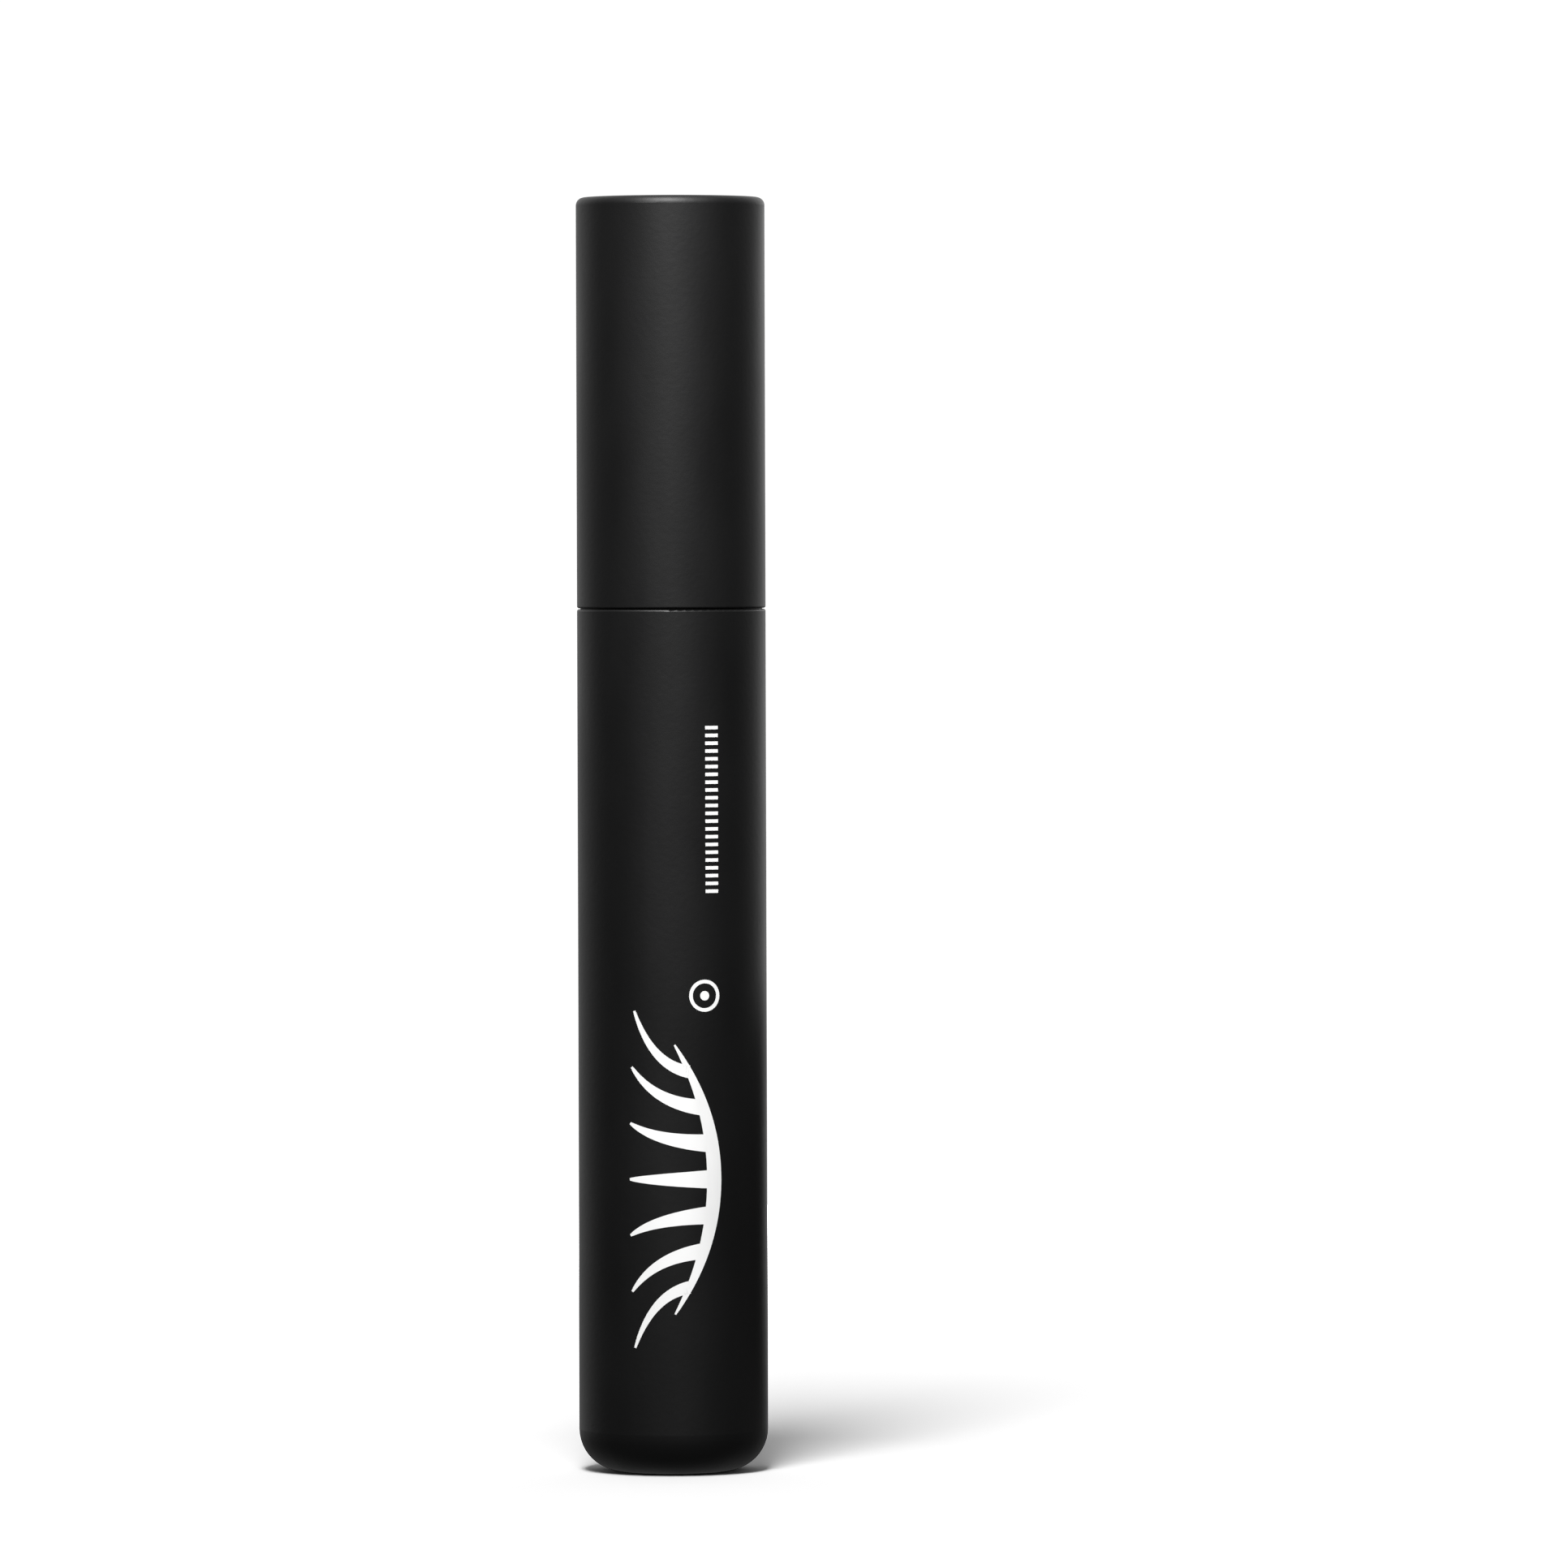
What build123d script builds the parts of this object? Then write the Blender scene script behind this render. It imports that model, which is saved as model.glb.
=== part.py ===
from build123d import *
import os

# A mascara tube with its cap screwed home. A rounded sleeve holds a threaded bottle of paste. The
# cap, its threaded liner, the rod and the twisted-wire brush come out together as the applicator.
#
# Millimetres. The origin is the centre of the base, on the surface that the tube stands on, and
# +Z runs up the axis to the top of the cap. Turning the cap about +Z unscrews it.

# ---- Outside -------------------------------------------------------------------------------------
tube_radius = 10.0
closed_height = 135.0
cap_height = 43.5
seam_gap = 0.1  # open line between the body and the cap
wall = 1.2  # of the sleeve and of the outer cap
base_round = 4.4
top_round = 0.85
seam_round = 0.22  # of the two edges along the seam
lip_setback = 0.35  # from the sleeve's skin in to the lip that the cap's mouth seats on

cap_mouth = closed_height - cap_height
body_top = cap_mouth - seam_gap
bore_radius = tube_radius - wall  # inside of the sleeve and of the outer cap

# ---- Fits between the pieces ---------------------------------------------------------------------
snug_gap = 0.05  # between pieces pressed or snapped together
seat_gap = 0.02  # between faces that part when the cap is unscrewed
bead_height = 0.15  # of a snap bead over the face it stands on
bead_width = 0.5
bead_slack = 0.05  # between a snap bead and its groove, all round

# ---- Closure thread ------------------------------------------------------------------------------
thread_starts = 2
thread_pitch = 3.0
thread_lead = thread_starts * thread_pitch  # the cap rises by this in each turn
neck_radius = 5.9
neck_crest_radius = 6.6
liner_bore_radius = 6.75
liner_crest_radius = 6.15
ridge_root_width = 1.3
ridge_crest_width = 0.7
ridge_bury = 0.2  # how far a ridge's foot reaches into the wall it stands on
ridge_trim = 0.2  # what is swept beyond a ridge's crest and then cut off round
ridge_fade = 0.9  # height over which each end of a ridge runs out
ridge_drop = 1.1  # a liner ridge sits this far below the neck ridge that holds it down
thread_margin = 1.2  # from the top of a thread to the end of the wall it is on

# ---- Sleeve and bottle ---------------------------------------------------------------------------
sleeve_floor = 2.2
sleeve_floor_round = 3.0
sleeve_rib_count = 6
sleeve_rib_width = 0.9
sleeve_rib_ends = (8.0, 84.0)
recess_radius = 4.3
recess_depth = 0.3
label_radius = 4.0
label_thickness = 0.12

bottle_radius = 7.8
bottle_wall = 1.0
bottle_floor = 1.2
bottle_round = 2.0
shoulder_drop = 0.2  # from the sleeve's rim down to the bottle's shoulder
flange_thickness = 1.6
neck_height = 13.2
neck_bore_radius = 4.75
collar_gap = 0.15  # from the collar at the neck's foot out to the cap's bore
collar_height = 0.6
paste_level = 66.0

lip_top = cap_mouth - seat_gap
shoulder = body_top - shoulder_drop
collar_radius = bore_radius - collar_gap
neck_top = shoulder + neck_height
neck_thread_bottom = shoulder + collar_height + 0.8
liner_thread_bottom = neck_thread_bottom + thread_pitch  # in step with the neck's ridges
bottle_base = sleeve_floor + snug_gap
cavity_radius = bottle_radius - bottle_wall
cavity_floor = bottle_base + bottle_floor
cavity_top = shoulder - flange_thickness - 0.8  # underside of the shoulder, at the neck's bore

# ---- Wiper and gasket ----------------------------------------------------------------------------
wiper_flange_radius = 5.6
wiper_flange_thickness = 0.6
wiper_wall = 0.6
wiper_cone_top = shoulder + 2.0
wiper_lip_height = 1.6
wiper_lip_wall = 0.45
wiper_clearance = 0.1  # round the rod
wiper_length = 18.0
washer_thickness = 0.66
washer_inner_radius = 2.3
washer_outer_radius = 5.4

wiper_top = neck_top + wiper_flange_thickness
wiper_bottom = wiper_top - wiper_length
washer_bottom = wiper_top + seat_gap
liner_roof = washer_bottom + washer_thickness + seat_gap

# ---- Cap, liner and rod --------------------------------------------------------------------------
cap_roof = 1.6
liner_recess = 0.5  # from the cap's mouth up to the liner's rim
liner_radius = 8.2
liner_rim_height = 1.2
liner_roof_thickness = 1.5
rib_count = 6
rib_width = 0.9
web_height = 6.0  # of the webs round the rod socket, on the liner's roof
stop_rib_depth = 1.2
socket_radius = 3.4
socket_length = 10.6
socket_end = 0.9

rod_radius = 1.85
rod_root_radius = 2.04
rod_root_reach = 0.5  # the thicker root ends this far below the cap's mouth
rod_below_mouth = 52.5
rod_end_round = 1.2
rod_bead_rise = 0.3
wire_socket_depth = 8.5

liner_mouth = cap_mouth + liner_recess
socket_floor = liner_roof + liner_roof_thickness
socket_top = socket_floor + socket_length
web_top = socket_floor + web_height
rod_end = cap_mouth - rod_below_mouth
rod_root_end = cap_mouth - rod_root_reach
rod_top = socket_top - socket_end - snug_gap
rod_bore_radius = rod_root_radius + snug_gap
rod_bead_middle = rod_top - 3.0

# ---- Brush ---------------------------------------------------------------------------------------
brush_length = 25.7
brush_base_gap = 0.3  # from the rod's end to the first bristles
wire_radius = 0.23  # of each of the two strands
wire_twist_radius = 0.25
wire_proud = 0.5  # beyond the last bristles
wire_socket_radius = 0.52
bristle_lead = 2.82  # two rows of bristles run round the wire, half of this apart
bristle_thickness = 0.7
brush_core_radius = 1.7  # where paste clogs the rows
row_bury = 0.5  # how far a row's foot reaches into the core
brush_base_radius = 3.1
brush_wide_radius = 3.95
brush_waist_radius = 3.1
brush_shoulder_radius = 3.4
brush_tip_radius = 1.7
channel_gap = 0.3  # between the paste and what stands in it

brush_base = rod_end - brush_base_gap
brush_tip = brush_base - brush_length
wire_tip = brush_tip - wire_proud


def thread_ridge(root_radius, crest_radius, bottom, top):
    """One start of a thread on a cylinder about +Z, run out at both ends."""
    outward = 1 if crest_radius > root_radius else -1
    ridge_rise = abs(crest_radius - root_radius)
    buried_foot = root_radius - outward * ridge_bury
    root_half, crest_half = ridge_root_width / 2, ridge_crest_width / 2
    with BuildPart() as ridge:
        with BuildLine() as path:
            Helix(pitch=thread_lead, height=top - bottom, radius=root_radius, center=(0, 0, bottom))
        section = Plane(origin=path.line @ 0, x_dir=(outward, 0, 0), z_dir=path.line % 0)
        with BuildSketch(section):
            with BuildLine():
                Polyline(
                    (-2 * ridge_bury, -root_half),
                    (0, -root_half),
                    (ridge_rise, -crest_half),
                    (ridge_rise + ridge_trim, -crest_half),
                    (ridge_rise + ridge_trim, crest_half),
                    (ridge_rise, crest_half),
                    (0, root_half),
                    (-2 * ridge_bury, root_half),
                    close=True,
                )
            make_face()
        sweep(path=path.line, is_frenet=True)
        with BuildSketch(Plane.XZ):
            with BuildLine():
                Polyline(
                    (buried_foot, bottom),
                    (root_radius, bottom),
                    (crest_radius, bottom + ridge_fade),
                    (crest_radius, top - ridge_fade),
                    (root_radius, top),
                    (buried_foot, top),
                    close=True,
                )
            make_face()
        revolve(axis=Axis.Z, mode=Mode.INTERSECT)
    return ridge.part


def start_locations(drop=0.0):
    """Where the thread's starts stand about the axis, lowered by drop."""
    return [Location((0, 0, -drop), (0, 0, 360 * n / thread_starts)) for n in range(thread_starts)]


# ---- Sleeve of the body, closed and rounded at its base ------------------------------------------
with BuildPart() as outer_shell:
    with BuildSketch(Plane.XY):
        Circle(tube_radius)
    extrude(amount=body_top)
    fillet(outer_shell.faces().sort_by(Axis.Z)[0].edges(), base_round)
    fillet(outer_shell.faces().sort_by(Axis.Z)[-1].edges(), seam_round)
    with BuildSketch(Plane.XY.offset(body_top)):
        Circle(tube_radius - lip_setback)
    extrude(amount=lip_top - body_top)
    with BuildSketch(Plane.XY.offset(sleeve_floor)):
        Circle(bore_radius)
    extrude(amount=lip_top - sleeve_floor, mode=Mode.SUBTRACT)
    floor_face = outer_shell.faces().filter_by(Plane.XY).group_by(Axis.Z)[1][0]
    fillet(floor_face.edges(), sleeve_floor_round)
    # ribs that centre the bottle
    rib_inner_radius = bottle_radius + snug_gap
    with BuildSketch(Plane.XY.offset(sleeve_rib_ends[0])):
        with PolarLocations((rib_inner_radius + bore_radius + ridge_bury) / 2, sleeve_rib_count):
            Rectangle(bore_radius + ridge_bury - rib_inner_radius, sleeve_rib_width)
    extrude(amount=sleeve_rib_ends[1] - sleeve_rib_ends[0])
    # groove for the bead on the bottle's flange
    groove_width = bead_width + 2 * bead_slack
    with BuildSketch(Plane.XY.offset(shoulder - flange_thickness / 2 - groove_width / 2)):
        Circle(bore_radius - snug_gap + bead_height + bead_slack)
    extrude(amount=groove_width, mode=Mode.SUBTRACT)
    # recess for the label
    with BuildSketch(Plane.XY):
        Circle(recess_radius)
    extrude(amount=recess_depth, mode=Mode.SUBTRACT)
outer_shell.part.label = "outer_shell"

with BuildPart() as base_label:
    with BuildSketch(Plane.XY.offset(recess_depth - label_thickness)):
        Circle(label_radius)
    extrude(amount=label_thickness)
base_label.part.label = "base_label"

# ---- Bottle with its shoulder and threaded neck --------------------------------------------------
flange_radius = bore_radius - snug_gap
flange_bottom = shoulder - flange_thickness
with BuildPart() as inner_bottle:
    with BuildSketch(Plane.XZ):
        with BuildLine():
            Polyline(
                (0, bottle_base),
                (bottle_radius, bottle_base),
                (bottle_radius, flange_bottom - (flange_radius - bottle_radius)),
                (flange_radius, flange_bottom),
                (flange_radius, shoulder),
                (collar_radius, shoulder),
                (collar_radius, shoulder + collar_height),
                (neck_radius, shoulder + collar_height),
                (neck_radius, neck_top),
                (0, neck_top),
                close=True,
            )
        make_face()
    revolve(axis=Axis.Z)
    fillet(inner_bottle.faces().sort_by(Axis.Z)[0].edges(), bottle_round)
    chamfer(inner_bottle.faces().sort_by(Axis.Z)[-1].edges(), 0.4)
    with BuildSketch(Plane.XZ):
        with BuildLine():
            Polyline(
                (0, cavity_floor),
                (cavity_radius, cavity_floor),
                (cavity_radius, cavity_top - (cavity_radius - neck_bore_radius)),
                (neck_bore_radius, cavity_top),
                (neck_bore_radius, neck_top),
                (0, neck_top),
                close=True,
            )
        make_face()
    revolve(axis=Axis.Z, mode=Mode.SUBTRACT)
    # snap bead round the flange
    with BuildSketch(Plane.XY.offset(shoulder - flange_thickness / 2 - bead_width / 2)):
        Circle(flange_radius + bead_height)
        Circle(flange_radius - ridge_bury, mode=Mode.SUBTRACT)
    extrude(amount=bead_width)
    # groove inside the neck for the bead on the wiper
    with BuildSketch(Plane.XY.offset(wiper_cone_top + 1.0 - bead_slack)):
        Circle(neck_bore_radius - snug_gap + bead_height + bead_slack)
    extrude(amount=bead_width + 2 * bead_slack, mode=Mode.SUBTRACT)
    neck_ridge = thread_ridge(
        neck_radius, neck_crest_radius, neck_thread_bottom, neck_top - thread_margin
    )
    with Locations(start_locations()):
        add(neck_ridge)
inner_bottle.part.label = "inner_bottle"

# ---- Wiper: a flanged funnel that ends in a lip round the rod ------------------------------------
wiper_sleeve_radius = neck_bore_radius - snug_gap
wiper_hole_radius = rod_radius + wiper_clearance
with BuildPart() as wiper:
    with BuildSketch(Plane.XZ):
        with BuildLine():
            Polyline(
                (wiper_flange_radius, neck_top),
                (wiper_flange_radius, wiper_top),
                (wiper_sleeve_radius - wiper_wall, wiper_top),
                (wiper_sleeve_radius - wiper_wall, wiper_cone_top),
                (wiper_hole_radius, wiper_bottom + wiper_lip_height),
                (wiper_hole_radius, wiper_bottom),
                (wiper_hole_radius + wiper_lip_wall, wiper_bottom),
                (wiper_hole_radius + wiper_lip_wall, wiper_bottom + wiper_lip_height),
                (wiper_sleeve_radius, wiper_cone_top),
                (wiper_sleeve_radius, neck_top),
                close=True,
            )
        make_face()
    revolve(axis=Axis.Z)
    with BuildSketch(Plane.XY.offset(wiper_cone_top + 1.0)):
        Circle(wiper_sleeve_radius + bead_height)
        Circle(wiper_sleeve_radius - wiper_wall / 2, mode=Mode.SUBTRACT)
    extrude(amount=bead_width)
wiper.part.label = "wiper"

# ---- Gasket round the rod's root, loose on the rod and free to slip on the turning liner ----------
with BuildPart() as seal_washer:
    with BuildSketch(Plane.XY.offset(washer_bottom)):
        Circle(washer_outer_radius)
        Circle(washer_inner_radius, mode=Mode.SUBTRACT)
    extrude(amount=washer_thickness)
seal_washer.part.label = "seal_washer"

# ---- Outer cap -----------------------------------------------------------------------------------
with BuildPart() as outer_cap:
    with BuildSketch(Plane.XY.offset(cap_mouth)):
        Circle(tube_radius)
    extrude(amount=cap_height)
    fillet(outer_cap.faces().sort_by(Axis.Z)[-1].edges(), top_round)
    fillet(outer_cap.faces().sort_by(Axis.Z)[0].edges(), seam_round)
    with BuildSketch(Plane.XY.offset(cap_mouth)):
        Circle(bore_radius)
    extrude(amount=cap_height - cap_roof, mode=Mode.SUBTRACT)
    # ribs that stop the liner at its depth; each meets one of the liner's webs
    with BuildSketch(Plane.XY.offset(web_top + snug_gap)):
        with PolarLocations(bore_radius - (stop_rib_depth - ridge_bury) / 2, rib_count):
            Rectangle(stop_rib_depth + ridge_bury, rib_width)
    extrude(amount=closed_height - cap_roof - web_top)
    # groove for the bead on the liner's rim
    with BuildSketch(Plane.XY.offset(liner_mouth + liner_rim_height / 2 - groove_width / 2)):
        Circle(bore_radius - snug_gap + bead_height + bead_slack)
    extrude(amount=groove_width, mode=Mode.SUBTRACT)
outer_cap.part.label = "outer_cap"

# ---- Threaded liner of the cap, with the rod's socket on its roof ---------------------------------
with BuildPart() as inner_cap:
    with BuildSketch(Plane.XY.offset(liner_mouth)):
        Circle(liner_radius)
    extrude(amount=socket_floor - liner_mouth)
    with BuildSketch(Plane.XY.offset(liner_mouth)):
        Circle(bore_radius - snug_gap)
    extrude(amount=liner_rim_height)
    with BuildSketch(Plane.XY.offset(liner_mouth + liner_rim_height / 2 - bead_width / 2)):
        Circle(bore_radius - snug_gap + bead_height)
    extrude(amount=bead_width)
    # ribs that centre the liner in the outer cap
    rib_outer_radius = bore_radius - snug_gap
    with BuildSketch(Plane.XY.offset(liner_mouth)):
        with PolarLocations((liner_radius - ridge_bury + rib_outer_radius) / 2, rib_count):
            Rectangle(rib_outer_radius - liner_radius + ridge_bury, rib_width)
    extrude(amount=web_top - liner_mouth)
    # socket and its webs
    with BuildSketch(Plane.XY.offset(socket_floor)):
        Circle(socket_radius)
    extrude(amount=socket_length)
    with BuildSketch(Plane.XY.offset(socket_floor)):
        with PolarLocations((socket_radius + liner_radius) / 2, rib_count):
            Rectangle(liner_radius - socket_radius + 2 * ridge_bury, rib_width)
    extrude(amount=web_height)
    # bore that the neck goes into, and the rod's hole above it
    with BuildSketch(Plane.XY.offset(liner_mouth)):
        Circle(liner_bore_radius)
    extrude(amount=liner_roof - liner_mouth, mode=Mode.SUBTRACT)
    mouth_edges = inner_cap.edges().filter_by(GeomType.CIRCLE).group_by(Axis.Z)[0]
    chamfer(mouth_edges.sort_by(SortBy.RADIUS)[0], 0.35)
    with BuildSketch(Plane.XY.offset(liner_roof)):
        Circle(rod_bore_radius)
    extrude(amount=socket_top - socket_end - liner_roof, mode=Mode.SUBTRACT)
    with BuildSketch(Plane.XY.offset(rod_bead_middle - bead_width)):
        Circle(rod_root_radius + rod_bead_rise + bead_slack)
    extrude(amount=2 * bead_width, mode=Mode.SUBTRACT)
    liner_ridge = thread_ridge(
        liner_bore_radius, liner_crest_radius, liner_thread_bottom, liner_roof - thread_margin
    )
    with Locations(start_locations(ridge_drop)):
        add(liner_ridge)
inner_cap.part.label = "inner_cap"

# ---- Rod -----------------------------------------------------------------------------------------
with BuildPart() as rod:
    with BuildSketch(Plane.XZ):
        with BuildLine():
            Polyline(
                (0, rod_end),
                (rod_radius, rod_end),
                (rod_radius, rod_root_end),
                (rod_root_radius, rod_root_end + 0.2),
                (rod_root_radius, rod_bead_middle - 0.4),
                (rod_root_radius + rod_bead_rise, rod_bead_middle),
                (rod_root_radius, rod_bead_middle + 0.4),
                (rod_root_radius, rod_top - 0.4),
                (rod_root_radius - 0.4, rod_top),
                (0, rod_top),
                close=True,
            )
        make_face()
    revolve(axis=Axis.Z)
    fillet(rod.faces().sort_by(Axis.Z)[0].edges(), rod_end_round)
    with BuildSketch(Plane.XY.offset(rod_end)):
        Circle(wire_socket_radius)
    extrude(amount=wire_socket_depth, mode=Mode.SUBTRACT)
rod.part.label = "rod"

# ---- Core wire of the brush: two strands twisted together ----------------------------------------
with BuildPart() as brush_wire:
    wire_height = rod_end + wire_socket_depth - snug_gap - wire_tip
    with BuildLine() as strand_path:
        Helix(pitch=bristle_lead, height=wire_height, radius=wire_twist_radius, center=(0, 0, wire_tip))
    with BuildSketch(Plane(origin=strand_path.line @ 0, z_dir=strand_path.line % 0)):
        Circle(wire_radius)
    sweep(path=strand_path.line, is_frenet=True)
    with PolarLocations(0, 1, start_angle=180):
        add(brush_wire.part)
brush_wire.part.label = "brush_wire"

# ---- Bristles: two rows wound along the wire, clogged with paste near it --------------------------
with BuildPart() as brush_outline:
    with BuildSketch(Plane.XZ):
        with BuildLine():
            core_base = (wire_socket_radius, brush_base)
            base_edge = (brush_base_radius, brush_base)
            widest = (brush_wide_radius, brush_base - 1.6)
            waist = (brush_waist_radius, brush_base - 0.55 * brush_length)
            tip_shoulder = (brush_shoulder_radius, brush_tip + 3.0)
            tip_edge = (brush_tip_radius, brush_tip)
            core_tip = (wire_socket_radius, brush_tip)
            Line(core_base, base_edge)
            Line(base_edge, widest)
            ThreePointArc(widest, waist, tip_shoulder)
            RadiusArc(tip_shoulder, tip_edge, brush_shoulder_radius)
            Polyline(tip_edge, core_tip, core_base)
        make_face()
    revolve(axis=Axis.Z)

with BuildPart() as bristle_row:
    overrun = bristle_thickness
    row_inner_radius = brush_core_radius - row_bury
    row_outer_radius = brush_wide_radius + 0.2
    row_middle_radius = (row_inner_radius + row_outer_radius) / 2
    with BuildLine() as row_path:
        Helix(
            pitch=bristle_lead,
            height=brush_length + 2 * overrun,
            radius=row_middle_radius,
            center=(0, 0, brush_tip - overrun),
        )
    row_section = Plane(origin=row_path.line @ 0, x_dir=(1, 0, 0), z_dir=row_path.line % 0)
    with BuildSketch(row_section):
        Rectangle(row_outer_radius - row_inner_radius, bristle_thickness)
    sweep(path=row_path.line, is_frenet=True)
    add(brush_outline.part, mode=Mode.INTERSECT)

with BuildPart() as bristles:
    with BuildSketch(Plane.XY.offset(brush_tip)):
        Circle(brush_core_radius)
        Circle(wire_socket_radius, mode=Mode.SUBTRACT)
    extrude(amount=brush_length)
    with Locations(Location((0, 0, 0)), Location((0, 0, 0), (0, 0, 180))):
        add(bristle_row.part)
bristles.part.label = "bristles"

# ---- Paste, with the channel that the brush and the rod stand in ----------------------------------
with BuildPart() as mascara_fill:
    paste_floor = cavity_floor + snug_gap
    with BuildSketch(Plane.XY.offset(paste_floor)):
        Circle(cavity_radius - snug_gap)
    extrude(amount=paste_level - paste_floor)
    with BuildSketch(Plane.XY.offset(wire_tip - channel_gap)):
        Circle(brush_wide_radius + channel_gap)
    extrude(amount=brush_base - wire_tip + 2 * channel_gap, mode=Mode.SUBTRACT)
    with BuildSketch(Plane.XY.offset(brush_base)):
        Circle(rod_radius + channel_gap)
    extrude(amount=paste_level - brush_base, mode=Mode.SUBTRACT)
mascara_fill.part.label = "mascara_fill"

# ---- Files ---------------------------------------------------------------------------------------
pieces = [
    outer_shell,
    base_label,
    inner_bottle,
    wiper,
    mascara_fill,
    seal_washer,
    outer_cap,
    inner_cap,
    rod,
    brush_wire,
    bristles,
]
os.makedirs("parts", exist_ok=True)
for piece in pieces:
    export_step(piece.part, f"parts/{piece.part.label}.step")
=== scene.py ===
"""Looks of a mascara tube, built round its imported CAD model.

The tube stands upright on the origin and its printed front faces -Y. The camera, the lights, the floor
and the materials are in metres. The print and the brush are worked out in millimetres, and their meshes
are scaled by MM.
"""

import itertools
import math

import bpy
import numpy as np
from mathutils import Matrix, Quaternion, Vector


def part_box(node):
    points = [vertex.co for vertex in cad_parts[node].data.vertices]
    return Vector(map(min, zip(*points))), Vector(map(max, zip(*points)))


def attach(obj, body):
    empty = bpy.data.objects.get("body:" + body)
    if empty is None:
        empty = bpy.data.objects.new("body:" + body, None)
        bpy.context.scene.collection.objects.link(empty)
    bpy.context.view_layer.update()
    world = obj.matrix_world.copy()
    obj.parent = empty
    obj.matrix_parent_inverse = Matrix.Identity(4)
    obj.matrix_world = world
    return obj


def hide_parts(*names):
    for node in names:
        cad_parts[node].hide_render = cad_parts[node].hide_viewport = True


MM = 0.001

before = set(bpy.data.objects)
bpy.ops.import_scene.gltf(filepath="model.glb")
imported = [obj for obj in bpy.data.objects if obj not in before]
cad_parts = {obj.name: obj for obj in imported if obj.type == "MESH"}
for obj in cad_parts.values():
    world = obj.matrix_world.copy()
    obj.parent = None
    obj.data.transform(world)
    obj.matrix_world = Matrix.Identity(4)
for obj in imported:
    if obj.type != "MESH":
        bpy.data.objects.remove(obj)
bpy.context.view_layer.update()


# ---------------------------------------------------------------- camera

sensor_width = 36.0
camera_distance = 1.15
camera_height = 0.1
camera_side = 0.0119
aim_height = 0.0728
view_width = 0.1663
camera_lean = math.radians(-0.16)

camera_data = bpy.data.cameras.new("camera")
camera_data.sensor_width = sensor_width
camera_data.lens = sensor_width * camera_distance / view_width
camera_data.clip_start = 0.1
camera_data.clip_end = 20.0
camera = bpy.data.objects.new("camera", camera_data)
bpy.context.scene.collection.objects.link(camera)
camera.location = (camera_side, -camera_distance, camera_height)
camera.rotation_mode = "QUATERNION"
aim = Vector((camera_side, 0, aim_height)) - camera.location
lean = Quaternion((0, 0, 1), camera_lean)
camera.rotation_quaternion = aim.to_track_quat("-Z", "Y") @ lean
bpy.context.scene.camera = camera
bpy.context.scene.view_settings.view_transform = "Standard"


# ---------------------------------------------------------------- node helpers


def mapped(tree, source, low, high, to_low, to_high):
    """The source's value mapped smoothly from low..high to to_low..to_high."""
    node = tree.nodes.new("ShaderNodeMapRange")
    node.interpolation_type = "SMOOTHSTEP"
    node.inputs["From Min"].default_value = low
    node.inputs["From Max"].default_value = high
    node.inputs["To Min"].default_value = to_low
    node.inputs["To Max"].default_value = to_high
    tree.links.new(source, node.inputs["Value"])
    return node.outputs["Result"]


def noise(tree, place, size, detail=2.0, stretch=(1, 1, 1)):
    """Noise whose lumps are about size metres across."""
    mapping = tree.nodes.new("ShaderNodeMapping")
    mapping.inputs["Scale"].default_value = stretch
    tree.links.new(place, mapping.inputs["Vector"])
    node = tree.nodes.new("ShaderNodeTexNoise")
    node.inputs["Scale"].default_value = 1 / size
    node.inputs["Detail"].default_value = detail
    tree.links.new(mapping.outputs["Vector"], node.inputs["Vector"])
    return node.outputs["Fac"]


def arithmetic(tree, operation, first, second):
    """Two values joined by an operation."""
    node = tree.nodes.new("ShaderNodeMath")
    node.operation = operation
    tree.links.new(first, node.inputs[0])
    tree.links.new(second, node.inputs[1])
    return node.outputs["Value"]


# ---------------------------------------------------------------- world, lights and floor

backdrop_light = 1.05
front_light = 0.02
back_light = 1.5
below_share = 0.15
below_light = 0.13

floor_half = 0.45
floor_fade_start = 0.5 * floor_half
floor_fade_end = 0.95 * floor_half

flag_turn = math.radians(120)
flag_distance = 0.045
flag_width = 0.032
flag_height = 0.05


def make_world():
    """Plain white to the camera. The object sees white behind it, and a dim room in front and below.

    The floor shows only shadow and takes no part in reflections, so a low light from straight below
    stands in for the white floor's reflection in the base.
    """
    world = bpy.data.worlds.new("studio")
    bpy.context.scene.world = world
    world.use_nodes = True
    tree = world.node_tree
    tree.nodes.clear()
    output = tree.nodes.new("ShaderNodeOutputWorld")
    place = tree.nodes.new("ShaderNodeTexCoord").outputs["Generated"]
    split = tree.nodes.new("ShaderNodeSeparateXYZ")
    tree.links.new(place, split.inputs["Vector"])
    backward = mapped(tree, split.outputs["Y"], 0.0, 0.95, front_light, back_light)
    upward = mapped(tree, split.outputs["Z"], -0.15, 0.1, below_share, 1.0)
    below = mapped(tree, split.outputs["Z"], -0.75, -0.25, below_light, 0.0)
    level = arithmetic(tree, "ADD", arithmetic(tree, "MULTIPLY", backward, upward), below)
    room = tree.nodes.new("ShaderNodeBackground")
    tree.links.new(level, room.inputs["Strength"])
    backdrop = tree.nodes.new("ShaderNodeBackground")
    backdrop.inputs["Color"].default_value = (1, 1, 1, 1)
    backdrop.inputs["Strength"].default_value = backdrop_light
    mix = tree.nodes.new("ShaderNodeMixShader")
    path = tree.nodes.new("ShaderNodeLightPath")
    tree.links.new(path.outputs["Is Camera Ray"], mix.inputs["Fac"])
    tree.links.new(room.outputs["Background"], mix.inputs[1])
    tree.links.new(backdrop.outputs["Background"], mix.inputs[2])
    tree.links.new(mix.outputs["Shader"], output.inputs["Surface"])


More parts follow.
